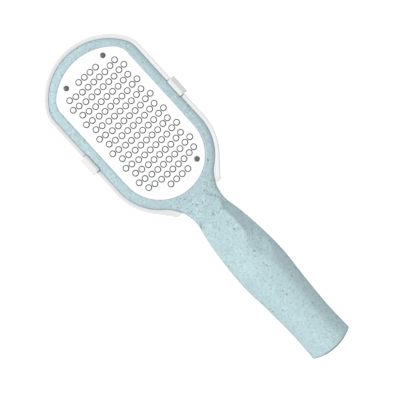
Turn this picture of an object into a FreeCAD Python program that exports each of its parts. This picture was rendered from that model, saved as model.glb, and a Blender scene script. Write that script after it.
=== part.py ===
import FreeCAD, Part
import math
import os
from collections import namedtuple

# Foot file with a punched steel rasp plate and a clip-on debris tray.
# Millimetres. +X runs from the head's tip to the end of the handle, +Y is across, +Z is up from the
# surface that the file lies on, with the rasp face on top. The origin is under the middle of the file.

V = FreeCAD.Vector

# Overall size, the run from the tray's tip to the centre of the head's rear arc, how far cutting
# shapes run past what they cut, and how near an edge lies to the level that it is looked for at
overall_length = 242.0
tip_to_rear_arc = 84.7
overrun = 2.0
level_slack = 0.05

# Head frame: outline, height and walls
frame_half_width = 33.0
frame_crown_excess = 3.6
frame_corner_radius = 15.0
frame_height = 6.0
frame_edge_radius = 2.5
frame_edge_steps = 3
frame_top_wall = 2.4
frame_skirt = 2.2
frame_rib = 1.2
frame_rib_shares = (0.15, 0.38, 0.62, 0.85)
neck_half_width = 11.5
neck_blend_radius = 24.0
neck_tail = 17.3

# Plate seat in the frame
plate_border = 6.0
plate_gap = 0.2
seat_depth = 0.7
ledge_width = 3.0
ledge_rim = 1.4

# Rasp plate and its punched teeth
plate_crown_excess = 7.2
plate_corner_radius = 11.0
plate_thickness = 0.5
tooth_row_pitch = 5.88
tooth_column_pitch = 4.56
tooth_base_radius = 1.95
tooth_lip_radius = 1.5
tooth_throat_radius = 1.72
tooth_lip_height = 0.55
tooth_sides = 6
tooth_margin = 0.4
tooth_field_end = 8.5
tooth_field_shift = 0.65
tooth_sweep = 1.6
tooth_sweep_start = 8.0
tooth_sweep_end = 20.5
tooth_pair_shift = 0.2

# Rivets
rivet_head_radius = 1.75
rivet_head_height = 0.5
rivet_shank_radius = 1.15
rivet_fit = 0.05
rivet_tail_radius = 1.7
rivet_tail_height = 0.6
rivet_tail_gap = 0.3
rivet_boss_radius = 3.3
rivet_boss_lift = 1.0
rivet_tip_inset = 8.6
rivet_rear_inset = 10.3
rivet_half_spacing = 14.8
rivet_sides = 10
rivet_brow_share = 0.6

# Debris tray
tray_border = 2.8
tray_gap = 0.3
tray_depth = 14.0
tray_wall = 1.6
tray_draft = 3.0
tray_body_inset = 2.0
tray_collar_inset = 0.9
tray_rim_drop = 1.2
tray_rim_height = 1.6
tray_bottom_bevel = 3.5
tray_tail = 2.1
tray_tail_angle = math.radians(50.2)

# Snap latches of the tray
latch_length = 12.0
latch_reach = 5.0
latch_stem = 1.3
latch_root_height = 6.5
latch_root_lip = 1.5
latch_root_depth = 4.0
latch_tongue_bite = 0.4
latch_tongue_proud = 0.2
latch_tongue_width = 1.8
latch_shelf = 1.5
latch_lip = 1.2
latch_lip_drop = 4.3
latch_edge = 0.4

# Handle barrel
barrel_half_width = 16.5
barrel_top = 23.6
parting_height = 12.0
barrel_wall = 2.4
arch_setback = 1.6
nose_gap = 1.7
barrel_end_radius = 29.6
thumb_rest_depth = 1.1
thumb_rest_shares = (0.075, 0.215, 0.345)

# Sections of the barrel, from in front of the arch to past the end: place along the barrel, half
# width, ridge and shoulder over the parting plane, belly under it, each as a share of its full size
section_shares = (
    (-0.027, 0.667, 0.642, 0.431, 0.090),
    (0.030, 0.680, 0.741, 0.457, 0.190),
    (0.095, 0.700, 0.853, 0.483, 0.450),
    (0.177, 0.824, 0.922, 0.345, 0.717),
    (0.291, 0.933, 0.974, 0.155, 0.917),
    (0.462, 1.000, 1.000, 0.069, 1.000),
    (0.633, 0.921, 0.957, 0.069, 0.942),
    (0.804, 0.855, 0.897, 0.069, 0.875),
    (0.910, 0.867, 0.888, 0.069, 0.867),
    (1.008, 0.897, 0.905, 0.069, 0.892),
)
belly_shoulder_share = 0.04

# Chords in half an ellipse of a section, outside and in the hollow
barrel_chords = 12
cavity_chords = 6

# Pins that join the two handle shells
pin_radius = 1.6
pin_height = 4.0
pin_fit = 0.1
pin_boss_wall = 1.6
pin_shares = (0.22, 0.50, 0.80)
pin_sides = 6

# Places along X
tip_x = -overall_length / 2
end_x = overall_length / 2
rear_arc_x = tip_x + tip_to_rear_arc
head_rear_x = rear_arc_x + frame_half_width
frame_tip_x = tip_x + tray_border
plate_tip_x = frame_tip_x + plate_border
plate_half_width = frame_half_width - plate_border
frame_crown_radius = frame_half_width + frame_crown_excess
plate_crown_radius = plate_half_width + plate_crown_excess
plate_rear_x = rear_arc_x + plate_half_width
plate_middle_x = (plate_tip_x + plate_rear_x) / 2
arch_x = head_rear_x + arch_setback
tray_end_x = head_rear_x + tray_tail
nose_x = tray_end_x + nose_gap
neck_end_x = head_rear_x + neck_tail
barrel_length = end_x - arch_x
tip_rivet_x = plate_tip_x + rivet_tip_inset
rear_rivet_x = plate_rear_x - rivet_rear_inset

# Levels along Z
frame_bottom = tray_depth
frame_top = frame_bottom + frame_height
seat_top = frame_top - seat_depth
plate_top = seat_top + plate_thickness
channel_top = frame_top - frame_top_wall
boss_bottom = frame_bottom + rivet_boss_lift
rim_top = frame_top - tray_rim_drop

# Places of the latches
latch_x = plate_middle_x + tooth_field_shift
latch_outer_y = frame_half_width + latch_reach
tongue_inner_y = frame_half_width - latch_tongue_bite
stem_inner_y = frame_half_width + tray_border - tray_body_inset + tray_gap
stem_outer_y = stem_inner_y + latch_stem

HeadShape = namedtuple("HeadShape", "half_width tip crown corner")
frame_shape = HeadShape(frame_half_width, frame_tip_x, frame_crown_radius, frame_corner_radius)
plate_shape = HeadShape(plate_half_width, plate_tip_x, plate_crown_radius, plate_corner_radius)


def polar(centre, radius, angle):
    return (centre[0] + radius * math.cos(angle), centre[1] + radius * math.sin(angle))


def arc_piece(centre, radius, start, end):
    angles = (start, (start + end) / 2, end)
    return tuple(polar(centre, radius, angle) for angle in angles)


def head_pieces(shape, grow, rear_angle):
    """The head's outline over +Y, from the tip to rear_angle on the rear arc, grown by an offset."""
    crown_centre = (shape.tip + shape.crown, 0)
    corner_y = shape.half_width - shape.corner
    run = math.sqrt((shape.crown - shape.corner) ** 2 - corner_y ** 2)
    corner_centre = (crown_centre[0] - run, corner_y)
    turn = math.atan2(corner_y, -run)
    side_y = shape.half_width + grow
    return [
        arc_piece(crown_centre, shape.crown + grow, math.pi, turn),
        arc_piece(corner_centre, shape.corner + grow, turn, math.pi / 2),
        ((corner_centre[0], side_y), (rear_arc_x, side_y)),
        arc_piece((rear_arc_x, 0), side_y, math.pi / 2, rear_angle),
    ]


def frame_pieces(grow, end):
    """The frame's outline over +Y with its concave blend into the neck, which stops at x = end."""
    centre_y = neck_half_width + neck_blend_radius
    reach = frame_half_width + neck_blend_radius
    centre = (rear_arc_x + math.sqrt(reach ** 2 - centre_y ** 2), centre_y)
    angle = math.atan2(centre[1], centre[0] - rear_arc_x)
    pieces = head_pieces(frame_shape, grow, angle)
    pieces.append(arc_piece(centre, neck_blend_radius - grow, math.pi + angle, 1.5 * math.pi))
    neck_y = neck_half_width + grow
    pieces.append(((centre[0], neck_y), (end, neck_y)))
    return pieces


def tray_pieces(grow):
    """The tray's outline over +Y, measured from its rim, with the straight tail beside the neck."""
    shape = HeadShape(
        frame_half_width + tray_border,
        frame_tip_x - tray_border,
        frame_crown_radius + tray_border,
        frame_corner_radius + tray_border,
    )
    pieces = head_pieces(shape, grow, tray_tail_angle)
    start = pieces[-1][-1]
    end = tray_end_x + grow
    fall = (end - start[0]) / math.tan(tray_tail_angle)
    pieces.append((start, (end, start[1] - fall)))
    return pieces


def edge(points, z):
    places = [V(x, y, z) for x, y in points]
    if len(places) == 2:
        return Part.LineSegment(*places).toShape()
    return Part.Arc(*places).toShape()


def outline(pieces, z):
    """A closed wire from the pieces over +Y and their mirror image."""
    mirrored = [[(x, -y) for x, y in reversed(piece)] for piece in reversed(pieces)]
    edges = [edge(piece, z) for piece in mirrored + pieces]
    last = pieces[-1][-1]
    if abs(last[1]) > level_slack:
        edges.append(edge([last, (last[0], -last[1])], z))
    return Part.Wire(edges)


def prism(pieces, low, high):
    return Part.Face(outline(pieces, low)).extrude(V(0, 0, high - low))


def box(x_range, y_range, z_range):
    size = [high - low for low, high in (x_range, y_range, z_range)]
    return Part.makeBox(*size, V(x_range[0], y_range[0], z_range[0]))


def ring(x, y, radius, z, sides):
    """The corners of a small round piece, which has flat sides in place of a curve."""
    turn = 2 * math.pi / sides
    return [V(*polar((x, y), radius, (k + 0.5) * turn), z) for k in range(sides)]


def closed(points):
    return Part.makePolygon(points + points[:1])


def strip(low, high):
    """The flat faces between two rings of corners."""
    faces = []
    for k in range(len(low)):
        nxt = (k + 1) % len(low)
        faces.append(Part.Face(closed([low[k], low[nxt], high[nxt], high[k]])))
    return faces


def sewn(faces):
    """One solid from faces that close."""
    body = Part.makeCompound(faces)
    body.sewShape()
    solid = Part.Solid(body.Shells[0])
    if solid.Volume < 0:
        solid.reverse()
    return solid


def post(x, y, radius, low, high, sides):
    return Part.Face(closed(ring(x, y, radius, low, sides))).extrude(V(0, 0, high - low))


def mirror_y(shape):
    return shape.mirror(V(0, 0, 0), V(0, 1, 0))


def interpolate(column, share):
    """A smooth curve through one column of section_shares, at a share of the barrel's length."""
    rows = [(row[0], row[column]) for row in section_shares]
    last = len(rows) - 1
    i = max(k for k in range(last) if rows[k][0] <= share or k == 0)

    def slope(k):
        before, after = rows[max(k - 1, 0)], rows[min(k + 1, last)]
        return (after[1] - before[1]) / (after[0] - before[0])

    span = rows[i + 1][0] - rows[i][0]
    t = (share - rows[i][0]) / span
    rise = rows[i + 1][1] - rows[i][1]
    start, end = slope(i) * span, slope(i + 1) * span
    return rows[i][1] + t * (start + t * (3 * rise - 2 * start - end + t * (start + end - 2 * rise)))


def ridge_height(share):
    return parting_height + interpolate(2, share) * (barrel_top - parting_height)


def belly_height(share):
    return parting_height * (1 - interpolate(4, share))


def half_ring(x, half_width, level, peak, chords):
    """Half an ellipse across the plane at x, in short chords, from one flank over its peak."""
    points = []
    for k in range(chords + 1):
        turn = math.pi * k / chords
        points.append(V(x, half_width * math.cos(turn), level + (peak - level) * math.sin(turn)))
    return points


def barrel_section(row, shrink, chords):
    """One closed section of the barrel: straight flanks, half an ellipse above and one below."""
    share, width, ridge, shoulder, belly = row
    x = arch_x + share * barrel_length
    crown = barrel_top - parting_height
    a = width * barrel_half_width - shrink
    high = parting_height + shoulder * crown
    low = parting_height * (1 - belly_shoulder_share)
    top = parting_height + ridge * crown - shrink
    bottom = parting_height * (1 - belly) + shrink
    bottom = min(bottom, low - belly_shoulder_share * parting_height)
    return closed(half_ring(x, a, high, top, chords) + half_ring(x, -a, low, bottom, chords))


def barrel(shrink):
    """The whole barrel as one loft with a rounded end, shrunk by a wall thickness inside, where the
    loft runs straight from section to section."""
    chords = cavity_chords if shrink else barrel_chords
    sections = [barrel_section(row, shrink, chords) for row in section_shares]
    body = Part.makeLoft(sections, True, shrink > 0)
    radius = barrel_end_radius
    ball = Part.makeSphere(radius - shrink, V(end_x - radius, 0, barrel_top / 2))
    reach = barrel_half_width + overrun
    cap = box((end_x - radius / 2, end_x + radius), (-reach, reach), (-reach, barrel_top + reach))
    return body.cut(cap.cut(ball))


def below(z, start, end):
    reach = barrel_half_width + overrun
    return box((start, end), (-reach, reach), (-overrun, z))


def above(z, start, end):
    reach = barrel_half_width + overrun
    return box((start, end), (-reach, reach), (z, barrel_top + reach))


def thumb_rest():
    """A shallow scoop across the barrel's crown, from an arc through three places on the ridge."""
    depths = (0, thumb_rest_depth, 0)
    points = []
    for share, depth in zip(thumb_rest_shares, depths):
        points.append(V(arch_x + share * barrel_length, -barrel_half_width, ridge_height(share) - depth))
    first, middle, last = points
    up = V(0, 0, barrel_half_width)
    wire = Part.Wire([
        Part.Arc(first, middle, last).toShape(),
        Part.LineSegment(last, last + up).toShape(),
        Part.LineSegment(last + up, first + up).toShape(),
        Part.LineSegment(first + up, first).toShape(),
    ])
    return Part.Face(wire).extrude(V(0, 2 * barrel_half_width, 0))


def rivet_places():
    return {
        "rivet_tip_left": (tip_rivet_x, -rivet_half_spacing),
        "rivet_tip_right": (tip_rivet_x, rivet_half_spacing),
        "rivet_rear_right": (rear_rivet_x, rivet_half_spacing),
    }


def frame_channel():
    """The hollow under the frame's border, open below, with cross ribs left standing in it."""
    outer = prism(frame_pieces(-frame_skirt, nose_x), frame_bottom - overrun, channel_top)
    rim = head_pieces(plate_shape, ledge_rim - ledge_width, 0)
    hollow = outer.cut(prism(rim, frame_bottom - 2 * overrun, frame_top))
    half = frame_rib / 2
    side = (plate_half_width - ledge_width, frame_half_width)
    for share in frame_rib_shares:
        x = plate_tip_x + share * (plate_rear_x - plate_tip_x)
        rib = box((x - half, x + half), side, (frame_bottom + tray_gap, channel_top))
        hollow = hollow.cut(rib).cut(mirror_y(rib))
    return hollow


def latch_groove():
    half = latch_length / 2 + tray_gap
    y_range = (tongue_inner_y - tray_gap, frame_half_width + overrun)
    return box((latch_x - half, latch_x + half), y_range, (frame_bottom - overrun, frame_top + overrun))


def head_frame():
    """The frame and neck as one slab, its top edge rounded in a few flat steps."""
    levels = [(0, frame_bottom)]
    for k in range(frame_edge_steps + 1):
        turn = math.pi / 2 * k / frame_edge_steps
        inset = frame_edge_radius * (1 - math.cos(turn))
        levels.append((-inset, frame_top - frame_edge_radius * (1 - math.sin(turn))))
    wires = [outline(frame_pieces(grow, neck_end_x), z) for grow, z in levels]
    return Part.makeLoft(wires, True, True)


def handle_shells(outer, hollow):
    """The upper and lower barrel shells, before the frame is added to the upper one."""
    far = end_x + overrun
    start = arch_x - overrun - barrel_length
    wall_end = nose_x + barrel_wall
    cavity = hollow.cut(box((start, wall_end), (-barrel_half_width, barrel_half_width), (-overrun, barrel_top)))
    front = below(frame_bottom, start, nose_x)
    upper = outer.cut(below(parting_height, start, far)).cut(front)
    lower = outer.cut(above(parting_height, start, far)).cut(front)
    return upper, lower, cavity


def handle_top_shell(upper, cavity):
    body = upper.fuse(head_frame())
    body = body.cut(cavity).cut(frame_channel())
    body = body.cut(prism(head_pieces(plate_shape, -ledge_width, 0), frame_bottom - overrun, frame_top))
    socket_wall = pin_radius + pin_fit + pin_boss_wall
    for share in pin_shares:
        x = arch_x + share * barrel_length
        boss_top = ridge_height(share) - barrel_wall / 2
        boss = post(x, 0, socket_wall, parting_height, boss_top, pin_sides)
        depth = parting_height + pin_height + pin_fit
        socket = post(x, 0, pin_radius + pin_fit, parting_height - overrun, depth, pin_sides)
        body = body.fuse(boss).cut(socket)
    body = body.cut(thumb_rest())
    for x, y in rivet_places().values():
        room = post(x, y, rivet_tail_radius + rivet_tail_gap, 0, boss_bottom, rivet_sides)
        boss = post(x, y, rivet_boss_radius, boss_bottom, seat_top, rivet_sides)
        body = body.cut(room).fuse(boss)
    body = body.cut(prism(head_pieces(plate_shape, plate_gap, 0), seat_top, frame_top + overrun))
    for x, y in rivet_places().values():
        hole = rivet_shank_radius + rivet_fit
        body = body.cut(post(x, y, hole, frame_bottom - overrun, frame_top, rivet_sides))
    groove = latch_groove()
    return body.cut(groove).cut(mirror_y(groove))


def handle_bottom_shell(lower, cavity):
    body = lower.cut(cavity)
    for share in pin_shares:
        x = arch_x + share * barrel_length
        boss_low = belly_height(share) + barrel_wall / 2
        boss = post(x, 0, pin_radius + pin_boss_wall, boss_low, parting_height, pin_sides)
        pin = post(x, 0, pin_radius, parting_height, parting_height + pin_height, pin_sides)
        body = body.fuse(boss).fuse(pin)
    return body


def sweep_back(y):
    """How far a tooth stands towards the tip, more at the sides than in the middle."""
    t = (abs(y) - tooth_sweep_start) / (tooth_sweep_end - tooth_sweep_start)
    t = min(max(t, 0), 1)
    return tooth_sweep * t * t * (3 - 2 * t)


def row_limit(x):
    """How far from the middle a tooth may stand in a row, where the rivets leave less room."""
    reach = rivet_boss_radius + tooth_base_radius
    wide = plate_half_width - ledge_width - tooth_base_radius - tooth_margin
    beside = x - sweep_back(rivet_half_spacing)
    near = min(abs(beside - tip_rivet_x), abs(beside - rear_rivet_x))
    return rivet_half_spacing - reach if near < reach else wide


def tooth_places():
    """Rows across the plate, alternately with a tooth in the middle and with a pair beside it."""
    middle = plate_middle_x + tooth_field_shift
    side_rows = int(((plate_rear_x - plate_tip_x) / 2 - tooth_field_end) / tooth_row_pitch)
    places = []
    for row in range(-side_rows, side_rows + 1):
        x = middle + row * tooth_row_pitch
        first = 0.5 if (row - side_rows) % 2 == 0 else 0
        columns = []
        while (first + len(columns)) * tooth_column_pitch <= row_limit(x):
            columns.append((first + len(columns)) * tooth_column_pitch)
        if row_limit(x) > tooth_sweep_start + tooth_column_pitch and len(columns) > 1:
            columns[-2] += tooth_pair_shift
        for y in columns:
            places += [(x - sweep_back(y), side * y) for side in ((1, -1) if y else (1,))]
    return places


def rasp_plate():
    """A thin plate whose teeth are punched up from below, each a hole with a sharp raised lip."""
    lip = plate_top + tooth_lip_height
    thickness = V(0, 0, plate_thickness)
    low_edge = outline(head_pieces(plate_shape, 0, 0), seat_top)
    low_wires, high_wires, faces = [low_edge], [low_edge.translated(thickness)], []
    faces += low_edge.extrude(thickness).Faces
    for x, y in rivet_places().values():
        hole = closed(ring(x, y, rivet_shank_radius + rivet_fit, seat_top, rivet_sides))
        faces += hole.extrude(thickness).Faces
        low_wires.append(hole)
        high_wires.append(hole.translated(thickness))
    for x, y in tooth_places():
        foot = ring(x, y, tooth_base_radius, plate_top, tooth_sides)
        crest = ring(x, y, tooth_lip_radius, lip, tooth_sides)
        throat = ring(x, y, tooth_throat_radius, seat_top, tooth_sides)
        faces += strip(foot, crest) + strip(crest, throat)
        low_wires.append(closed(throat))
        high_wires.append(closed(foot))
    faces.append(Part.makeFace(low_wires, "Part::FaceMakerBullseye"))
    faces.append(Part.makeFace(high_wires, "Part::FaceMakerBullseye"))
    return sewn(faces)


def rivet(x, y):
    """A rivet with a low domed head on the plate and a flat tail under the frame's boss."""
    crest = plate_top + rivet_head_height
    brow = plate_top + rivet_head_height * rivet_brow_share
    profile = (
        (rivet_head_radius * rivet_brow_share, crest),
        (rivet_head_radius, brow),
        (rivet_head_radius, plate_top),
        (rivet_shank_radius, plate_top),
        (rivet_shank_radius, boss_bottom),
        (rivet_tail_radius, boss_bottom),
        (rivet_tail_radius, boss_bottom - rivet_tail_height),
    )
    rings = [ring(x, y, radius, z, rivet_sides) for radius, z in profile]
    faces = [Part.Face(closed(rings[0])), Part.Face(closed(rings[-1]))]
    for upper, lower in zip(rings, rings[1:]):
        faces += strip(upper, lower)
    return sewn(faces)


def tapered(low_grow, high_grow, low, high):
    """A drafted block between two offsets of the tray's outline."""
    wires = [outline(tray_pieces(low_grow), low), outline(tray_pieces(high_grow), high)]
    return Part.makeLoft(wires, True, True)


def bevelled_below(block, z, size):
    edges = [one for one in block.Edges if one.BoundBox.ZMax < z + level_slack]
    return block.makeChamfer(size, edges)


def latch_root():
    """The wedge on the tray's side that a latch stem springs from."""
    inner = frame_half_width - 2 * tray_wall
    low = latch_root_height - latch_root_lip
    points = [
        (inner, latch_root_height),
        (stem_outer_y, latch_root_height),
        (stem_outer_y, low),
        (inner, latch_root_height - latch_root_depth),
    ]
    return along_x(points, latch_length)


def along_x(points, length):
    corners = [V(latch_x - length / 2, y, z) for y, z in points]
    return Part.Face(closed(corners)).extrude(V(length, 0, 0))


def latch_gate():
    """The room that a latch needs in the tray's collar, and beside its wall."""
    half = latch_length / 2 + tray_gap
    x_range = (latch_x - half, latch_x + half)
    far = latch_outer_y + overrun
    gate = box(x_range, (frame_half_width - tray_gap, far), (frame_bottom, rim_top + overrun))
    side = box(x_range, (stem_inner_y - tray_gap, far), (latch_root_height, rim_top))
    return gate.fuse(side)


def debris_tray():
    inner = tray_body_inset + tray_wall
    body = tapered(-tray_body_inset - tray_draft, -tray_body_inset, 0, frame_bottom)
    body = bevelled_below(body, 0, tray_bottom_bevel)
    collar_foot = frame_bottom - tray_wall
    body = body.fuse(prism(tray_pieces(-tray_collar_inset), collar_foot, rim_top))
    body = body.fuse(prism(tray_pieces(0), rim_top - tray_rim_height, rim_top))
    root = latch_root()
    body = body.fuse(root).fuse(mirror_y(root))
    hollow = tapered(-inner - tray_draft, -inner, tray_wall, frame_bottom)
    hollow = bevelled_below(hollow, tray_wall, tray_bottom_bevel - tray_wall)
    pocket = prism(frame_pieces(tray_gap, neck_end_x), frame_bottom, rim_top + overrun)
    body = body.cut(hollow).cut(pocket)
    gate = latch_gate()
    return body.cut(gate).cut(mirror_y(gate))


def latch():
    """A snap latch: a springy stem, a tongue that bites the frame's edge and a finger lip."""
    shelf_low = rim_top - latch_shelf
    tongue_outer = tongue_inner_y + latch_tongue_width
    tongue_top = frame_top + latch_tongue_proud
    lip_inner = latch_outer_y - latch_lip
    points = [
        (stem_inner_y, latch_root_height),
        (stem_inner_y, shelf_low),
        (tongue_inner_y, shelf_low),
        (tongue_inner_y, tongue_top),
        (tongue_outer, tongue_top),
        (tongue_outer, rim_top),
        (latch_outer_y, rim_top),
        (latch_outer_y, rim_top - latch_lip_drop),
        (lip_inner, rim_top - latch_lip_drop),
        (lip_inner, shelf_low),
        (stem_outer_y, shelf_low),
        (stem_outer_y, latch_root_height),
    ]
    solid = along_x(points, latch_length)
    edges = []
    for one in solid.Edges:
        place = one.BoundBox
        along = place.XLength > latch_length / 2
        on_tongue = place.ZMin > tongue_top - level_slack
        on_lip = place.ZMin > rim_top - level_slack and place.YMin > latch_outer_y - level_slack
        if along and (on_tongue or on_lip):
            edges.append(one)
    return solid.makeChamfer(latch_edge, edges)


def build():
    outer = barrel(0)
    hollow = barrel(barrel_wall)
    upper, lower, cavity = handle_shells(outer, hollow)
    parts = {
        "handle_top_shell": handle_top_shell(upper, cavity),
        "handle_bottom_shell": handle_bottom_shell(lower, cavity),
        "rasp_plate": rasp_plate(),
        "debris_tray": debris_tray(),
        "latch_right": latch(),
        "latch_left": mirror_y(latch()),
    }
    for name, (x, y) in rivet_places().items():
        parts[name] = rivet(x, y)
    return parts


os.makedirs("parts", exist_ok=True)
for node, shape in build().items():
    shape.exportStep("parts/" + node + ".step")
    print(node, shape.isValid(), len(shape.Solids), round(shape.Volume, 1), shape.BoundBox)
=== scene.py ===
import math

import bpy
import numpy as np
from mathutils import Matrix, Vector


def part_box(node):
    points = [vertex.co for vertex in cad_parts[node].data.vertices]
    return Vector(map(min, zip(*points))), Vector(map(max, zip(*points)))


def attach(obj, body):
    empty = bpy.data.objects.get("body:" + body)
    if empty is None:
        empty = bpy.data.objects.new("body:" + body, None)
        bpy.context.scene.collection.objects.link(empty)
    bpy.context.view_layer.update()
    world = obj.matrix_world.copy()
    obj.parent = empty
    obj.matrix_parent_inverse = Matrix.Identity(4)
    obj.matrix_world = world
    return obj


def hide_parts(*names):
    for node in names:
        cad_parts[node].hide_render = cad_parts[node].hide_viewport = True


# Foot file: the speckled handle and frame, the punched steel plate, its rivets, the tray and its latches.
# Sizes are in millimetres and become meshes in metres, in the frame of the CAD nodes. Names that end in x
# or y are places, and names that end in edge or fillet say how far an edge or a corner is rounded.

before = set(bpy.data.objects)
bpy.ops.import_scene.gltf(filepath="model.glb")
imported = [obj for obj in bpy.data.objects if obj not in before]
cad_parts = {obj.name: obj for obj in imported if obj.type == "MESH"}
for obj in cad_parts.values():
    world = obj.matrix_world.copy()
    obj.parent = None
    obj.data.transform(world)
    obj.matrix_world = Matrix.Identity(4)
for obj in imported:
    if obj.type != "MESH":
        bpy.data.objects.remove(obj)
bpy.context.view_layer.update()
MM = 0.001


def reach_of(node):
    """Lowest and highest corner of a CAD node, in millimetres."""
    low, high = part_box(node)
    return np.array(low) / MM, np.array(high) / MM


def middle_of(node):
    low, high = reach_of(node)
    return (low + high) / 2


# Places taken from the frame
top_low, top_high = reach_of("handle_top_shell")
plate_low, plate_high = reach_of("rasp_plate")
tray_low, tray_high = reach_of("debris_tray")
latch_low, latch_high = reach_of("latch_right")
rivet_low, rivet_high = reach_of("rivet_tip_right")
tip_rivet_x = middle_of("rivet_tip_right")[0]
rear_rivet_x = middle_of("rivet_rear_right")[0]
rivet_y = middle_of("rivet_tip_right")[1]
latch_x = (latch_low[0] + latch_high[0]) / 2
plate_middle_x = (plate_low[0] + plate_high[0]) / 2
end_x = top_high[0]
rim_top = tray_high[2]
seat_top = plate_low[2]
frame_half_width = top_high[1]
plate_half_width = plate_high[1]
rear_arc_x = plate_high[0] - plate_half_width
head_rear_x = rear_arc_x + frame_half_width

# Frame and neck
seat_depth = 0.7
frame_height = 6.0
frame_top = seat_top + seat_depth
frame_bottom = frame_top - frame_height
frame_crown_excess = 3.6
frame_crown_radius = frame_half_width + frame_crown_excess
frame_corner_radius = 15.0
frame_edge_radius = 2.8
frame_edge_turn = math.radians(62)
frame_top_edge = 0.3
frame_foot_edge = 0.5
frame_top_wall = 2.4
frame_skirt = 2.2
rib_half_thickness = 0.6
rib_shares = (0.15, 0.38, 0.62, 0.85)
neck_half_width = 11.5
neck_blend_radius = 24.0
neck_length = 17.3
neck_end_x = head_rear_x + neck_length
plate_crown_excess = 7.2
plate_crown_radius = plate_half_width + plate_crown_excess
plate_corner_radius = 11.0
plate_gap = 0.2
ledge_width = 3.0
ledge_rim = 1.4
boss_radius = 3.3
boss_lift = 1.0
boss_fillet = 0.4
seat_edge = 0.25
groove_gap = 0.3
pocket_gap = 0.02
tongue_bite = 0.4
tongue_gap = 0.05
latch_end_gap = 0.12
border_fall = 0.14
inner_edge = 0.3
close_edge = 0.1

# Grip
arch_gap = 1.6
arch_x = head_rear_x + arch_gap
nose_gap = 1.7
nose_x = tray_high[0] + nose_gap
nose_edge = 0.5
grip_length = end_x - arch_x
grip_half_width = 16.5
grip_room = 0.1
grip_reach = grip_half_width + grip_room
grip_top = 23.6
grip_wall = 2.4
parting_height = 12.0
parting_edge = 0.3
end_radius = 29.6
end_edge = 0.35
thumb_rest_depth = 1.5
thumb_rest_shares = (0.075, 0.215, 0.345)
thumb_rest_edge = 0.4
belly_shoulder_share = 0.04
arch_reach = 1.5
arch_bend = 0.112
arch_overlap = 0.8
arch_edge = 0.3
neck_fillet = 0.25
wedge_radius = 11.0
wedge_angle = math.radians(30)
wedge_rise_x = (26.0, 36.0)
wedge_fall_x = (44.0, 66.0)
wedge_lift = 3.0
wedge_crease = 0.4
arch_lift = 0.9
arch_lift_end = 0.16
arch_lift_height = 4.0
arch_floor = 17.0
flank_angle = math.radians(46)
flank_shave = 1.0
thumb_flank_shave = 2.1
flank_start_x = 5.0
flank_full_x = 14.0
flank_ease_x = 28.0
flank_end_x = 46.0
flank_crease = 0.3
flank_crease_growth = 1.0

# Place along the grip, half width, ridge and shoulder over the parting plane, and belly under it,
# all as shares of the grip's length, greatest half width and heights
HALF_WIDTH, RIDGE, SHOULDER, BELLY = 1, 2, 3, 4
section_shares = np.array((
    (-0.027, 0.667, 0.642, 0.431, 0.090),
    (0.030, 0.680, 0.741, 0.457, 0.190),
    (0.095, 0.700, 0.853, 0.483, 0.450),
    (0.177, 0.824, 0.922, 0.345, 0.717),
    (0.291, 0.933, 0.974, 0.155, 0.917),
    (0.462, 1.000, 1.000, 0.069, 1.000),
    (0.633, 0.921, 0.957, 0.069, 0.942),
    (0.804, 0.855, 0.897, 0.069, 0.875),
    (0.910, 0.867, 0.888, 0.069, 0.867),
    (1.008, 0.897, 0.905, 0.069, 0.892),
))

# Tray
tray_border = 2.8
tray_wall = 1.6
tray_draft = 3.0
tray_inset = 2.0
collar_inset = 0.9
rim_height = 1.6
rim_fall = 0.3
lip_edge = 0.6
lip_fillet = 0.4
collar_fillet = 0.5
tray_land = 0.8
bottom_radius = 3.5
tail_angle = math.radians(50.2)
latch_root_height = 6.5
latch_root_depth = 4.0
root_fillet = 0.4
gate_edge = 0.25
latch_shelf = 1.5
latch_lip = 1.2
latch_lip_drop = 4.3
latch_bow_width = 1.4
latch_bow_drop = 1.0
latch_slope_width = 2.7
latch_slope_drop = 1.7
latch_edge = 0.4
latch_bevel_steps = 3
latch_bevel_angle = math.radians(25)
latch_half = (latch_high[0] - latch_low[0]) / 2
gate_half = latch_half + latch_end_gap
stem_thickness = 1.3
stem_inner_y = frame_half_width + tray_border - tray_inset + groove_gap
stem_outer_y = stem_inner_y + stem_thickness
root_inner_y = frame_half_width - 2 * tray_wall

# Punched teeth, on the lattice of the CAD plate; the teeth between pair_pitches from the middle line
# stand pair_shift further out
plate_thickness = 0.5
plate_top = seat_top + plate_thickness
side_rows = 7
half_columns = 9
row_pitch = 5.88
column_pitch = 4.56
field_shift = 0.65
wide_reach = 21.65
rivet_room = 5.25
narrow_reach = rivet_y - rivet_room
tooth_sweep = 1.6
sweep_start = 8.0
sweep_end = 20.5
pair_shift = 0.2
pair_pitches = (2.75, 3.75)
foot_radius = 2.08
lip_radius = 1.5
edge_radius = 1.4
throat_radius = 1.7
lip_height = 0.55
edge_rise = 0.05
punch_gap = 0.05
tooth_sides = 24

# Rivets: shares of the head's radius at the tail's end, the tail, the shank and the crest
rivet_end_share = 0.75
rivet_tail_share = 0.95
rivet_shank_share = 0.65
rivet_crest_share = 0.1
rivet_tail_edge = 0.15
rivet_dome_steps = 6
rivet_dome_power = 0.6
rivet_sides = 32

# Tones, a darker and a paler one. The head's tones are darker than the grip's, which is painted shade, and
# give way to the grip's from 4 mm ahead of the arch to 16 mm past it; the tray has a painted glow where it
# faces up, as far as a set height over its floor
grip_tones = ((0.44, 0.61, 0.64, 1), (0.50, 0.66, 0.69, 1))
shaded_head_tones = ((0.40, 0.555, 0.59, 1), (0.46, 0.605, 0.64, 1))
head_shade_x = (arch_x - 4.0, arch_x + 16.0)
tray_tones = ((0.73, 0.73, 0.73, 1), (0.78, 0.78, 0.78, 1))
painted_glow_tone = (0.71, 0.71, 0.70, 1)
painted_glow_height = 1.0
painted_glow_facing = 0.5
floor_tones = ((0.93, 0.93, 0.93, 1), (0.95, 0.95, 0.95, 1))
dark_steel_cast = 1.01
pale_steel_cast = 1.005

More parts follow.
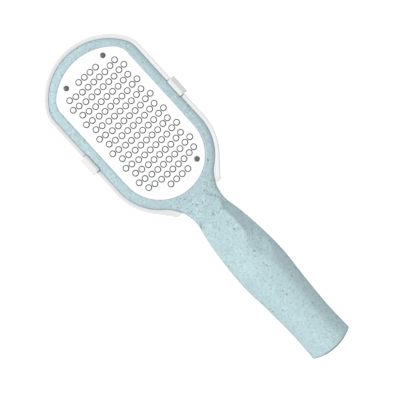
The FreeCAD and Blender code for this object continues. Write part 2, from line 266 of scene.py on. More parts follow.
# Flecks: cells per metre, size, strength and tone of each kind
pale_flecks = (820.0, 0.55, 0.35, (0.68, 0.79, 0.81, 1))
grey_flecks = (880.0, 0.60, 0.28, (0.28, 0.35, 0.41, 1))
crowd_flecks = (760.0, 0.42, 0.55, (0.16, 0.22, 0.24, 1))
fibre_flecks = (620.0, 0.26, 0.75, (0.24, 0.18, 0.12, 1))
fine_flecks = (1150.0, 0.30, 0.8, (0.08, 0.11, 0.11, 1))
cloudy_share = 0.45
fibre_share = 0.16
fibre_scale = 0.55
fleck_least = 0.35
fleck_fade = 0.12

# Where flecks gather along the file, at the arch, the thumb rest's end and the head, with the reach of
# each, and how many more of the cells hold a fleck there
fleck_places = (
    (arch_x + 6.0, 14.0),
    (arch_x + thumb_rest_shares[2] * grip_length, 22.0),
    (plate_middle_x, 120.0),
)
fleck_gains = (0.40, 0.15, 0.14)
fleck_share = 0.22
crowd_gain = 0.60

# Cells that the moulded skins are drawn in, and the cells kept free round them
upper_cell = 0.51
lower_cell = 0.5
tray_cell = 0.55
cells_before = 2.37
cells_after = 2.5

# Photo: the grip's turn in the picture, the picture's width and where the file's middle falls in it,
# and the camera's lens
picture_turn = math.radians(47.7)
picture_width = 240.0
picture_side = 400
middle_pixel = (200.7, 199.6)
lens_length = 150

# Studio: the floor in millimetres, the direction and strength of the surround, and the key light's place
# in metres, its size and its power
floor_reach = 4000.0
floor_drop = 0.2
surround_aside, surround_over = 0.5, 0.866
surround_swing, surround_level = 0.44, 0.62
key_aside, key_over = 0.66, 0.72
key_size = 0.4
key_power = 2.8


# Outlines seen from above, whose arcs are drawn in steps of a chord at most

chord = 0.9


def arc(centre, radius, start, end):
    """Points along an arc, at most a chord apart."""
    steps = max(2, math.ceil(abs(end - start) * radius / chord))
    turns = np.linspace(start, end, steps + 1)
    return [(centre[0] + radius * math.cos(t), centre[1] + radius * math.sin(t)) for t in turns]


def head_chain(half_width, tip, crown, corner, rear_angle):
    """The head's outline over +Y, from the tip to rear_angle on the rear arc."""
    corner_y = half_width - corner
    run = math.sqrt((crown - corner) ** 2 - corner_y ** 2)
    turn = math.atan2(corner_y, -run)
    crown_x = tip + crown
    return (
        arc((crown_x, 0), crown, math.pi, turn)
        + arc((crown_x - run, corner_y), corner, turn, math.pi / 2)
        + arc((rear_arc_x, 0), half_width, math.pi / 2, rear_angle)
    )


def frame_chain():
    """The frame's outline, blended into the neck."""
    centre_y = neck_half_width + neck_blend_radius
    reach = frame_half_width + neck_blend_radius
    centre = (rear_arc_x + math.sqrt(reach ** 2 - centre_y ** 2), centre_y)
    angle = math.atan2(centre[1], centre[0] - rear_arc_x)
    head = head_chain(frame_half_width, top_low[0], frame_crown_radius, frame_corner_radius, angle)
    blend = arc(centre, neck_blend_radius, math.pi + angle, 1.5 * math.pi)
    return head + blend + [(neck_end_x, neck_half_width), (neck_end_x, 0)]


def plate_chain():
    return head_chain(plate_half_width, plate_low[0], plate_crown_radius, plate_corner_radius, 0)


def tray_chain():
    """The tray's rim: the frame's outline set outwards, with a pointed tail under the neck."""
    chain = head_chain(
        frame_half_width + tray_border,
        tray_low[0],
        frame_crown_radius + tray_border,
        frame_corner_radius + tray_border,
        tail_angle,
    )
    start_x, start_y = chain[-1]
    fall = (tray_high[0] - start_x) / math.tan(tail_angle)
    return chain + [(tray_high[0], start_y - fall), (tray_high[0], 0)]


def outline_gap(chain, x, y):
    """Signed distance to an outline that is alike on both sides of y = 0, below nought inside it."""
    x, y = x[:, :, 0], np.abs(y[:, :, 0])
    near = np.full(np.broadcast(x, y).shape, np.inf, np.float32)
    inside = np.zeros(near.shape, bool)
    for (ax, ay), (bx, by) in zip(chain, chain[1:]):
        dx, dy = bx - ax, by - ay
        if dx == 0 and dy == 0:
            continue
        t = np.clip(((x - ax) * dx + (y - ay) * dy) / (dx * dx + dy * dy), 0, 1)
        near = np.minimum(near, (x - ax - t * dx) ** 2 + (y - ay - t * dy) ** 2)
        if dx:
            beside = (x >= min(ax, bx)) & (x < max(ax, bx))
            inside ^= beside & (y < ay + (x - ax) * dy / dx)
    return (np.where(inside, -1, 1) * np.sqrt(near))[:, :, None]


# Moulded forms

def rounded_meet(a, b, radius):
    """What lies in both forms, with the edge between them rounded."""
    corner = np.hypot(np.maximum(a + radius, 0), np.maximum(b + radius, 0))
    return np.minimum(np.maximum(a, b) + radius, 0) + corner - radius


def rounded_join(a, b, radius):
    """What lies in either form, with a fillet between them."""
    return -rounded_meet(-a, -b, radius)


def without(body, hollow, radius):
    """A form with a hollow cut from it and the hollow's edge rounded."""
    return rounded_meet(body, -hollow, radius)


def soft_meet(a, b, reach):
    """What lies in both forms, with a soft crease where their skins meet at a low angle."""
    near = np.maximum(reach - np.abs(a - b), 0)
    return np.maximum(a, b) + near * near / (4 * reach)


def eased(x, start, end):
    """Nought up to start, one from end on, and a smooth rise between."""
    t = np.clip((x - start) / (end - start), 0, 1)
    return t * t * (3 - 2 * t)


def column(x, y, z, centre, radius, z_range):
    """An upright round column."""
    side = np.hypot(x - centre[0], y - centre[1]) - radius
    return np.maximum(side, np.maximum(z_range[0] - z, z - z_range[1]))


def along_grip(column_number, share):
    """A smooth curve through one column of section_shares."""
    places, values = section_shares[:, 0], section_shares[:, column_number]
    slopes = np.gradient(values, places)
    slopes[1:-1] = (values[2:] - values[:-2]) / (places[2:] - places[:-2])
    i = np.clip(np.searchsorted(places, share) - 1, 0, len(places) - 2)
    width = places[i + 1] - places[i]
    t = (np.clip(share, places[0], places[-1]) - places[i]) / width
    rise = values[i + 1] - values[i]
    start, end = slopes[i] * width, slopes[i + 1] * width
    return values[i] + t * (start + t * (3 * rise - 2 * start - end + t * (start + end - 2 * rise)))


def ridge_height(share):
    return parting_height + along_grip(RIDGE, share) * (grip_top - parting_height)


def grip_skin(x, y, z):
    """The grip's outer form: upright flanks, half an ellipse above and one below, and a domed end."""
    share = (x - arch_x) / grip_length
    crown = grip_top - parting_height
    half_width = along_grip(HALF_WIDTH, share) * grip_half_width
    top = ridge_height(share)
    high = parting_height + along_grip(SHOULDER, share) * crown
    low = parting_height * (1 - belly_shoulder_share)
    bottom = parting_height * (1 - along_grip(BELLY, share))
    bottom = np.minimum(bottom, low - belly_shoulder_share * parting_height)
    rise = np.where(z > high, top - high, low - bottom)
    over = z - np.clip(z, low, high)
    value = (y / half_width) ** 2 + (over / rise) ** 2 - 1
    steep = 2 * np.hypot(y / half_width ** 2, over / rise ** 2)
    body = value / np.maximum(steep, 1 / half_width)
    ball_x = end_x - end_radius
    ball = np.sqrt((x - ball_x) ** 2 + y ** 2 + (z - grip_top / 2) ** 2) - end_radius
    return rounded_meet(body, np.where(x > ball_x, ball, -end_radius), end_edge)


def thumb_circle():
    """Centre and radius of the circle through three places of the ridge, the middle one lowered."""
    shares = np.array(thumb_rest_shares)
    places = arch_x + shares * grip_length
    heights = ridge_height(shares) - np.array((0, thumb_rest_depth, 0))
    rows = np.column_stack([places, heights, np.ones(3)])
    a, b, c = np.linalg.solve(rows, -(places ** 2 + heights ** 2))
    return -a / 2, -b / 2, math.sqrt(a * a / 4 + b * b / 4 - c)


def flanks(x, y, z):
    """Flat flanks along the grip, which come closer together beside the thumb rest."""
    share = np.clip((x - arch_x) / grip_length, 0, 1)
    half_width = along_grip(HALF_WIDTH, share) * grip_half_width
    high = along_grip(SHOULDER, share) * (grip_top - parting_height)
    rise = ridge_height(share) - parting_height - high
    across, up = math.sin(flank_angle), math.cos(flank_angle)
    reach = np.hypot(half_width * across, rise * up) + high * up
    by_thumb = eased(x, flank_start_x, flank_full_x) * (1 - eased(x, flank_ease_x, flank_end_x))
    shave = flank_shave + (thumb_flank_shave - flank_shave) * by_thumb
    shave = shave * eased(x, flank_start_x, flank_full_x)
    return np.abs(y) * across + (z - parting_height) * up - reach + shave


def ridge_wedge(x, y, z):
    """A narrower ridge just behind the thumb rest, which bounds the rest's round end."""
    share = np.clip((x - arch_x) / grip_length, 0, 1)
    sink = z - ridge_height(share) + wedge_radius
    across, up = math.sin(wedge_angle), math.cos(wedge_angle)
    side = np.abs(y)
    on_top = side * up < sink * across
    gap = np.where(on_top, np.hypot(side, sink), side * across + sink * up) - wedge_radius
    gone = 1 - eased(x, *wedge_rise_x) * (1 - eased(x, *wedge_fall_x))
    return gap - wedge_lift * gone


def arch_front(x, y):
    """How far a place lies behind the arch, seen from above, where the grip starts on the neck."""
    front = arch_x - arch_reach + arch_bend * y ** 2
    return (x - front) / np.hypot(1, 2 * arch_bend * y)


def grip_outside(x, y, z):
    """The grip with its thumb rest and arch, without the room for the head under its nose."""
    share = (x - arch_x) / grip_length
    raised = np.clip((z - parting_height) / arch_lift_height, 0, 1)
    lift = arch_lift * (1 - eased(share, 0, arch_lift_end)) * raised
    body = np.maximum(grip_skin(x, y, z - lift), arch_x + section_shares[0, 0] * grip_length - x)
    crease = flank_crease + flank_crease_growth * eased(x, flank_ease_x, flank_end_x)
    body = soft_meet(body, flanks(x, y, z), crease)
    body = soft_meet(body, ridge_wedge(x, y, z), wedge_crease)
    body = without(body, np.maximum(x - nose_x, z - frame_bottom), nose_edge)
    centre_x, centre_z, radius = thumb_circle()
    body = without(body, np.hypot(x - centre_x, z - centre_z) - radius, thumb_rest_edge)
    return without(body, np.maximum(arch_front(x, y), arch_floor - z), arch_edge)


def grip_hollow(x, y, z):
    """The room inside the grip, behind its nose."""
    inside = np.maximum(grip_skin(x, y, z), flanks(x, y, z)) + grip_wall
    return np.maximum(inside, nose_x + grip_wall - x)


def rivet_places():
    """Where the rivets stand: at the tip left and right, and at the rear right."""
    return [(tip_rivet_x, -rivet_y), (tip_rivet_x, rivet_y), (rear_rivet_x, rivet_y)]


def frame_head(x, y, z, around):
    """The oval frame and its neck, whose border falls outwards to a round edge."""
    border = frame_half_width - plate_half_width
    top = frame_top - border_fall * np.clip(around + border, 0, border)
    run = frame_edge_radius * math.sin(frame_edge_turn)
    drop = frame_edge_radius - np.sqrt(frame_edge_radius ** 2 - np.clip(around + run, 0, run) ** 2)
    head = rounded_meet(around, z - top + drop, frame_top_edge)
    head = rounded_meet(head, frame_bottom - z, frame_foot_edge)
    return np.maximum(head, -np.maximum(arch_overlap - arch_front(x, y), arch_floor - z))


def dust_channel(x, z, around, plate):
    """The ribbed room between the frame's skirt and the ledge that carries the plate."""
    channel = np.maximum(around + frame_skirt, -(plate + ledge_width - ledge_rim))
    channel = np.maximum(channel, np.maximum(z - frame_top + frame_top_wall, x - nose_x))
    for share in rib_shares:
        rib_x = plate_low[0] + share * (plate_high[0] - plate_low[0])
        rib = np.maximum(np.abs(x - rib_x) - rib_half_thickness, frame_bottom + groove_gap - z)
        channel = np.maximum(channel, -rib)
    return channel


def frame_and_upper_grip(x, y, z):
    """The upper moulding: the frame with its seat, window, bosses and latch grooves, and half the grip."""
    around = outline_gap(frame_chain(), x, y)
    plate = outline_gap(plate_chain(), x, y)
    body = rounded_join(frame_head(x, y, z, around), grip_outside(x, y, z), neck_fillet)
    body = without(body, dust_channel(x, z, around, plate), inner_edge)
    body = without(body, plate + ledge_width, inner_edge)
    for centre in rivet_places():
        boss = column(x, y, z, centre, boss_radius, (frame_bottom + boss_lift, seat_top))
        body = rounded_join(body, boss, boss_fillet)
    body = without(body, np.maximum(plate - plate_gap, seat_top - z), seat_edge)
    groove_y = frame_half_width - tongue_bite - tongue_gap
    groove = np.maximum(np.abs(x - latch_x) - gate_half, groove_y - np.abs(y))
    body = without(body, groove, close_edge)
    body = without(body, grip_hollow(x, y, z), inner_edge)
    return rounded_meet(body, parting_height - z, parting_edge)


def lower_grip(x, y, z):
    """The grip's lower half."""
    body = without(grip_outside(x, y, z), grip_hollow(x, y, z), inner_edge)
    return rounded_meet(body, z - parting_height, parting_edge)


def latch_root(x, side, z):
    """A sloping block on the tray's wall that a latch grows from, the same on both sides."""
    slope = latch_root_depth / (latch_high[1] - frame_half_width + 2 * tray_wall)
    root = np.maximum(np.abs(x - latch_x) - latch_half, z - latch_root_height)
    root = np.maximum(root, side - stem_outer_y)
    root = np.maximum(root, latch_root_height - latch_root_depth + slope * (side - root_inner_y) - z)
    return np.maximum(root, root_inner_y - side)


def tray_form(x, y, z):
    """The tray: a drafted shell with a collar round the frame, a rim that falls inwards and latch gates."""
    rim = outline_gap(tray_chain(), x, y)
    head = outline_gap(frame_chain(), x, y)
    side = np.abs(y)
    lean = tray_draft * (1 - z / frame_bottom)
    rim_skin = rim_top - rim_fall * np.clip(-rim, 0, tray_border)
    body = rounded_meet(rim + tray_inset + lean, -z, bottom_radius)
    body = np.maximum(body, z - frame_bottom)
    collar = np.maximum(rim + collar_inset, np.maximum(frame_bottom - tray_wall - z, z - rim_skin))
    body = rounded_join(body, collar, collar_fillet)
    lip = rounded_meet(rim, np.maximum(rim_top - rim_height - z, z - rim_skin), lip_edge)
    body = rounded_join(body, lip, lip_fillet)
    body = rounded_join(body, latch_root(x, side, z), root_fillet)
    lean = tray_draft * (1 - (z - tray_wall) / (frame_bottom - tray_wall))
    hollow = rounded_meet(rim + tray_inset + tray_wall + lean, tray_wall - z, bottom_radius - tray_wall)
    body = without(body, np.maximum(hollow, head + tray_land), inner_edge)
    body = without(body, np.maximum(head - pocket_gap, frame_bottom - z), close_edge)
    beside = np.abs(x - latch_x) - gate_half
    gate = np.maximum(beside, np.maximum(frame_half_width - groove_gap - side, frame_bottom - z))
    slot = np.maximum(beside, np.maximum(stem_inner_y - groove_gap - side, latch_root_height - z))
    return without(without(body, gate, gate_edge), slot, gate_edge)


# Meshes

def mesh_object(name, points, faces, smooth=True):
    """A new object from points in millimetres."""
    mesh = bpy.data.meshes.new(name)
    mesh.from_pydata((np.asarray(points) * MM).tolist(), [], [list(f) for f in faces])
    mesh.validate()
    if smooth:
        mesh.shade_smooth()
    else:
        mesh.shade_flat()
    piece = bpy.data.objects.new(name, mesh)
    bpy.context.scene.collection.objects.link(piece)
    return piece


def prism(name, near_ring, far_ring, smooth=True, flipped=False):
    """A solid between two like rings of points; flipped turns its faces round."""
    count = len(near_ring)
    faces = [list(range(count)), list(range(count, 2 * count))[::-1]]
    for k in range(count):
        following = (k + 1) % count
        faces.append([k, k + count, following + count, following])
    if flipped:
        faces = [face[::-1] for face in faces]
    return mesh_object(name, near_ring + far_ring, faces, smooth)


def moulded(name, form, low, high, cell):
    """The skin of a form: one point in each cell that it crosses, and a four-sided face at each edge."""
    ranges = [np.arange(a - cells_before * cell, b + cells_after * cell, cell) for a, b in zip(low, high)]
    x, y, z = (r.astype(np.float32) for r in ranges)
    value = form(x[:, None, None], y[None, :, None], z[None, None, :]).astype(np.float32)
    inside = value < 0
    cells = np.array(value.shape) - 1
    near_cells, near_points, quads = [], [], []
    for axis in range(3):
        lower = [slice(None)] * 3
        upper = [slice(None)] * 3
        lower[axis], upper[axis] = slice(0, -1), slice(1, None)
        lower, upper = tuple(lower), tuple(upper)
        spots = np.argwhere(inside[lower] != inside[upper])
        a = value[lower][tuple(spots.T)]
        b = value[upper][tuple(spots.T)]
        crossing = spots.astype(float)
        crossing[:, axis] += a / (a - b)
        second, third = (axis + 1) % 3, (axis + 2) % 3
        corners = []
        for back_second, back_third in ((1, 1), (0, 1), (0, 0), (1, 0)):
            cell_place = spots.copy()
            cell_place[:, second] -= back_second
            cell_place[:, third] -= back_third
            corners.append(np.ravel_multi_index(tuple(cell_place.T), cells))
            near_points.append(crossing)
        near_cells += corners
        quad = np.column_stack(corners)
        quads.append(np.where((a < 0)[:, None], quad, quad[:, ::-1]))
    numbers, where = np.unique(np.concatenate(near_cells), return_inverse=True)
    near_points = np.concatenate(near_points)
    count = np.bincount(where)
    points = np.column_stack([np.bincount(where, near_points[:, k]) / count for k in range(3)])
    points = points * cell + np.array([r[0] for r in ranges])
    faces = np.searchsorted(numbers, np.concatenate(quads))
    return mesh_object(name, points, faces.tolist())


def settled(piece):
    """The piece with its modifiers turned into plain mesh."""
    bpy.context.view_layer.update()
    seen = piece.evaluated_get(bpy.context.evaluated_depsgraph_get())
    mesh = bpy.data.meshes.new_from_object(seen)
    piece.modifiers.clear()
    old, piece.data = piece.data, mesh
    mesh.name = piece.name
    bpy.data.meshes.remove(old)
    return piece


def latch_profile():
    """A latch from its side: a springy stem, a tongue over the frame's edge and a sloping finger lip."""
    tongue_inner_y, top = latch_low[1], latch_high[2]
    outer_y = latch_high[1]
    shelf_low = rim_top - latch_shelf
    lip_foot = rim_top - latch_lip_drop
    return [
        (stem_inner_y, latch_root_height),
        (stem_inner_y, shelf_low),
        (tongue_inner_y, shelf_low),
        (tongue_inner_y, top - latch_bow_drop),
        (tongue_inner_y + latch_bow_width, top),
        (outer_y - latch_slope_width, top),
        (outer_y, top - latch_slope_drop),
        (outer_y, lip_foot),
        (outer_y - latch_lip, lip_foot),
        (outer_y - latch_lip, shelf_low),
        (stem_outer_y, shelf_low),
        (stem_outer_y, latch_root_height),
    ]


def snap_latch(name, side):
    """The latch's profile drawn out along the file, with soft edges; side is 1 right and -1 left."""
    rings = [[(x, side * y, z) for y, z in latch_profile()] for x in (latch_low[0], latch_high[0])]
    piece = prism(name, *rings, flipped=side < 0)
    bevel = piece.modifiers.new("soft edges", "BEVEL")
    bevel.width = latch_edge * MM
    bevel.segments = latch_bevel_steps
    bevel.limit_method = "ANGLE"
    bevel.angle_limit = latch_bevel_angle
    bevel.harden_normals = True
    return settled(piece)


def turned(name, profile, centre, sides):
    """A round piece turned from a profile of radii and heights, closed at both ends."""
    points, faces = [], []
    for radius, height in profile:
        for k in range(sides):
            turn = 2 * math.pi * k / sides
            x = centre[0] + radius * math.cos(turn)
            y = centre[1] + radius * math.sin(turn)
            points.append((x, y, height))
    for row in range(len(profile) - 1):
        for k in range(sides):
            following = (k + 1) % sides
            low, high = row * sides, (row + 1) * sides
            faces.append((low + k, low + following, high + following, high + k))
    faces.append(list(range(sides))[::-1])
    faces.append(list(range(len(points) - sides, len(points))))
    return mesh_object(name, points, faces)


def adopt(piece, body, slot, material, *nodes):
    """The piece stands for CAD nodes, moves with a body and takes a finish."""
    if material is not None:
        piece.data.materials.clear()
        piece.data.materials.append(material)
    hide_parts(*nodes)
    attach(piece, body)


# Node trees

def add(tree, kind, links=(), **settings):
    """A node with its settings, and values or links for its inputs by name or number."""
    node = tree.nodes.new(kind)
    for name, value in settings.items():
        setattr(node, name, value)
    for socket, value in dict(links).items():
        if isinstance(value, bpy.types.NodeSocket):
            tree.links.new(value, node.inputs[socket])
        else:
            node.inputs[socket].default_value = value
    return node


def sums(tree, operation, a, b=None, clamp=False):
    """A Math node's output."""
    links = {0: a} if b is None else {0: a, 1: b}
    return add(tree, "ShaderNodeMath", links, operation=operation, use_clamp=clamp).outputs[0]


def new_group(name, kind, inputs, outputs):
    """A node group with named inputs and outputs, given as (name, socket type, value)."""
    tree = bpy.data.node_groups.new(name, kind)
    for label, socket, value in inputs:
        made = tree.interface.new_socket(label, in_out="INPUT", socket_type=socket)
        if value is not None:
            made.default_value = value
    for label, socket in outputs:
        tree.interface.new_socket(label, in_out="OUTPUT", socket_type=socket)
    return tree, tree.nodes.new("NodeGroupInput"), tree.nodes.new("NodeGroupOutput")


def place_group(tree, group, **values):
    """A group's node in a tree, with values or links for its inputs."""
    node = tree.nodes.new("ShaderNodeGroup")
    node.node_tree = group
    for name, value in values.items():
        label = name.replace("_", " ")
        if isinstance(value, bpy.types.NodeSocket):
            tree.links.new(value, node.inputs[label])
        else:
            node.inputs[label].default_value = value
    return node


FLOAT, VECTOR, COUNT, SHAPE = "NodeSocketFloat", "NodeSocketVector", "NodeSocketInt", "NodeSocketGeometry"


def fleck_group():
    """Flecks scattered through a moulding: a share of the cells of a pattern holds one each."""
    tree, given, out = new_group(
        "scattered flecks",
        "ShaderNodeTree",
        [
            ("Place", VECTOR, None),
            ("Cells per metre", FLOAT, 900.0),
            ("Share", FLOAT, 0.3),
            ("Size", FLOAT, 0.3),
        ],
        [("Mask", FLOAT)],
    )
    cells = add(
        tree,
        "ShaderNodeTexVoronoi",
        {"Vector": given.outputs["Place"], "Scale": given.outputs["Cells per metre"]},
        feature="F1",
    )
    chance = add(tree, "ShaderNodeSeparateColor", {0: cells.outputs["Color"]})
    varied = sums(tree, "ADD", chance.outputs[1], fleck_least)
    size = sums(tree, "MULTIPLY", given.outputs["Size"], varied)
    inside = sums(tree, "SUBTRACT", size, cells.outputs["Distance"])
    fade = sums(tree, "DIVIDE", inside, fleck_fade, clamp=True)
    chosen = sums(tree, "LESS_THAN", chance.outputs[0], given.outputs["Share"])
    tree.links.new(sums(tree, "MULTIPLY", fade, chosen), out.inputs["Mask"])
    return tree


def grain_group():
    """The fine unevenness of a moulded or rolled surface, as a height and a change of gloss."""
    tree, given, out = new_group(
        "surface grain",
        "ShaderNodeTree",
        [
            ("Place", VECTOR, None),
            ("Fineness", FLOAT, 1500.0),
            ("Gloss", FLOAT, 0.4),
            ("Change", FLOAT, 0.1),
        ],
        [("Height", FLOAT), ("Roughness", FLOAT)],
    )
    fine = add(
        tree,
        "ShaderNodeTexNoise",
        {"Vector": given.outputs["Place"], "Scale": given.outputs["Fineness"], "Detail": 3.0},
    )
    broad = add(
        tree,
        "ShaderNodeTexNoise",
        {"Vector": given.outputs["Place"], "Scale": 60.0, "Detail": 2.0},
    )
    swing = sums(tree, "SUBTRACT", broad.outputs["Fac"], 0.5)
    swing = sums(tree, "MULTIPLY", swing, given.outputs["Change"])
    rough = sums(tree, "ADD", given.outputs["Gloss"], swing)
    tree.links.new(fine.outputs["Fac"], out.inputs["Height"])
    tree.links.new(rough, out.inputs["Roughness"])
    return tree


flecks = fleck_group()
grain = grain_group()


def new_material(name, **sockets):
    """A material with its shader's constant values, and the place that its patterns read."""
    material = bpy.data.materials.new(name)
    material.use_nodes = True
    tree = material.node_tree
    shader = tree.nodes["Principled BSDF"]
    for label, value in sockets.items():
        shader.inputs[label.replace("_", " ")].default_value = value
    place = tree.nodes.new("ShaderNodeTexCoord").outputs["Object"]
    return material, tree, shader, place


def stretched(tree, place, scale):
    """The place with its axes scaled, so that a pattern is drawn out along one of them."""
    return add(tree, "ShaderNodeMapping", {"Vector": place, "Scale": scale}).outputs[0]


def mixed(tree, share, first, second):
    """A colour between two."""
    node = tree.nodes.new("ShaderNodeMix")
    node.data_type = "RGBA"
    for number, value in ((0, share), (6, first), (7, second)):
        if isinstance(value, bpy.types.NodeSocket):
            tree.links.new(value, node.inputs[number])
        else:
            node.inputs[number].default_value = value
    return node.outputs[2]


def rough_and_bumped(tree, shader, grained, strength, distance):
    """The surface grain on a shader, as roughness and a bump."""
    tree.links.new(grained.outputs["Roughness"], shader.inputs["Roughness"])
    bump = add(
        tree,
        "ShaderNodeBump",
        {"Strength": strength, "Distance": distance * MM, "Height": grained.outputs["Height"]},
    )
    tree.links.new(bump.outputs[0], shader.inputs["Normal"])


def closeness(tree, place, middle, reach):
    """One at a place in millimetres, falling to nought at its reach."""
    away = sums(tree, "ABSOLUTE", sums(tree, "SUBTRACT", place, middle * MM))
    return sums(tree, "SUBTRACT", 1.0, sums(tree, "DIVIDE", away, reach * MM), clamp=True)


def flecked(tree, under, place, cells, share, size, strength, tone):
    """A colour with one kind of fleck laid over it."""
    layer = place_group(tree, flecks, Place=place, Cells_per_metre=cells, Share=share, Size=size)
    return mixed(tree, sums(tree, "MULTIPLY", layer.outputs[0], strength), under, tone)


def speckled_plastic():
    """Pale blue moulding with plant-fibre flecks, closer together at the arch and the thumb rest's end."""
    material, tree, shader, place = new_material("speckled_plastic", IOR=1.45)
    cloud = add(tree, "ShaderNodeTexNoise", {"Vector": place, "Scale": 90.0, "Detail": 3.0})
    along = add(tree, "ShaderNodeSeparateXYZ", {0: place}).outputs[0]
    # Painted shade: the head and neck take darker tones than the grip, fading out across the arch
    head_start, head_end = head_shade_x
    head_shade_share = add(
        tree,
        "ShaderNodeMapRange",
        {
            "Value": along,
            "From Min": head_start * MM,
            "From Max": head_end * MM,
            "To Min": 1.0,
            "To Max": 0.0,
        },
    ).outputs[0]
    deep = mixed(tree, head_shade_share, grip_tones[0], shaded_head_tones[0])
    light = mixed(tree, head_shade_share, grip_tones[1], shaded_head_tones[1])
    colour = mixed(tree, cloud.outputs["Fac"], deep, light)
    by_arch, by_thumb_end, by_head = (closeness(tree, along, *where) for where in fleck_places)
    gathered = sums(tree, "MULTIPLY", by_arch, fleck_gains[0])
    for near, gain in zip((by_thumb_end, by_head), fleck_gains[1:]):
        gathered = sums(tree, "ADD", gathered, sums(tree, "MULTIPLY", near, gain))
    fine_share = sums(tree, "ADD", gathered, fleck_share)
    crowd_share = sums(tree, "MULTIPLY", by_arch, crowd_gain)
    fibre_place = stretched(tree, place, (fibre_scale, 1.0, 1.0))
    for where, share, (cells, size, strength, tone) in (
        (place, cloudy_share, pale_flecks),
        (place, cloudy_share, grey_flecks),
        (place, crowd_share, crowd_flecks),
        (fibre_place, fibre_share, fibre_flecks),
        (place, fine_share, fine_flecks),
    ):
        colour = flecked(tree, colour, where, cells, share, size, strength, tone)
    tree.links.new(colour, shader.inputs["Base Color"])
    grained = place_group(tree, grain, Place=place, Fineness=1400.0, Gloss=0.42, Change=0.12)
    rough_and_bumped(tree, shader, grained, strength=0.25, distance=0.04)
    return material


def white_plastic():
    """Satin white moulding; where the tray's floor faces up it has a painted glow, light that stands for
    what comes through its thin wall and brightens the holes seen through the plate.
    """
    material, tree, shader, place = new_material("tray_plastic", IOR=1.45)
    cloud = add(tree, "ShaderNodeTexNoise", {"Vector": place, "Scale": 40.0, "Detail": 2.0})
    white = mixed(tree, cloud.outputs["Fac"], *tray_tones)
    tree.links.new(white, shader.inputs["Base Color"])
    # Painted light: the tray's floor glows where it faces up, just over the floor
    height = add(tree, "ShaderNodeSeparateXYZ", {0: place}).outputs[2]
    normal = tree.nodes.new("ShaderNodeNewGeometry").outputs["Normal"]
    facing = add(tree, "ShaderNodeSeparateXYZ", {0: normal}).outputs[2]
    low = sums(tree, "LESS_THAN", height, (tray_wall + painted_glow_height) * MM)
    glow = sums(tree, "MULTIPLY", sums(tree, "GREATER_THAN", facing, painted_glow_facing), low)
    glow = mixed(tree, glow, (0, 0, 0, 1), painted_glow_tone)
    tree.links.new(glow, shader.inputs["Emission Color"])
    shader.inputs["Emission Strength"].default_value = 1.0
    grained = place_group(tree, grain, Place=place, Fineness=900.0, Gloss=0.36, Change=0.1)
    rough_and_bumped(tree, shader, grained, strength=0.15, distance=0.03)
    return material


def steel(name, pale, dark, gloss, change, brush):
    """Steel with a grain that runs along the file; brush is how long the grain is drawn out."""
    material, tree, shader, place = new_material(name, Metallic=1.0)
    drawn = stretched(tree, place, (1 / brush, 1.0, 1.0))
    streak = add(tree, "ShaderNodeTexNoise", {"Vector": drawn, "Scale": 2200.0, "Detail": 3.0})
    dark_tone = (dark, dark, dark * dark_steel_cast, 1)
    pale_tone = (pale, pale, pale * pale_steel_cast, 1)
    tone = mixed(tree, streak.outputs["Fac"], dark_tone, pale_tone)
    tree.links.new(tone, shader.inputs["Base Color"])
    grained = place_group(tree, grain, Place=drawn, Fineness=2200.0, Gloss=gloss, Change=change)
    rough_and_bumped(tree, shader, grained, strength=0.12, distance=0.01)
    return material


def floor_finish():
    """A pale matt floor that gives off a little light."""
    material, tree, shader, place = new_material("pale_floor", Roughness=0.9)
    cloud = add(tree, "ShaderNodeTexNoise", {"Vector": place, "Scale": 3.0, "Detail": 1.0})
    pale = mixed(tree, cloud.outputs["Fac"], *floor_tones)
    tree.links.new(pale, shader.inputs["Base Color"])
    shader.inputs["Emission Color"].default_value = (1, 1, 1, 1)
    shader.inputs["Emission Strength"].default_value = 0.55
    return material


# Punched plate

LATTICE_SIZES = (
    ("Side Rows", COUNT, side_rows),
    ("Half Columns", COUNT, half_columns),
    ("Row Pitch", FLOAT, row_pitch * MM),
    ("Column Pitch", FLOAT, column_pitch * MM),
    ("Middle X", FLOAT, (plate_middle_x + field_shift) * MM),
    ("Wide Reach", FLOAT, wide_reach * MM),
    ("Narrow Reach", FLOAT, narrow_reach * MM),
    ("Rivet Room", FLOAT, rivet_room * MM),
    ("Tip Rivet X", FLOAT, tip_rivet_x * MM),
    ("Rear Rivet X", FLOAT, rear_rivet_x * MM),
    ("Sweep", FLOAT, tooth_sweep * MM),
    ("Sweep Start", FLOAT, sweep_start * MM),
    ("Sweep End", FLOAT, sweep_end * MM),
    ("Pair Shift", FLOAT, pair_shift * MM),
    ("Rivet Lag", FLOAT, tooth_sweep * eased(rivet_y, sweep_start, sweep_end) * MM),
    ("Level", FLOAT, plate_top * MM),
)


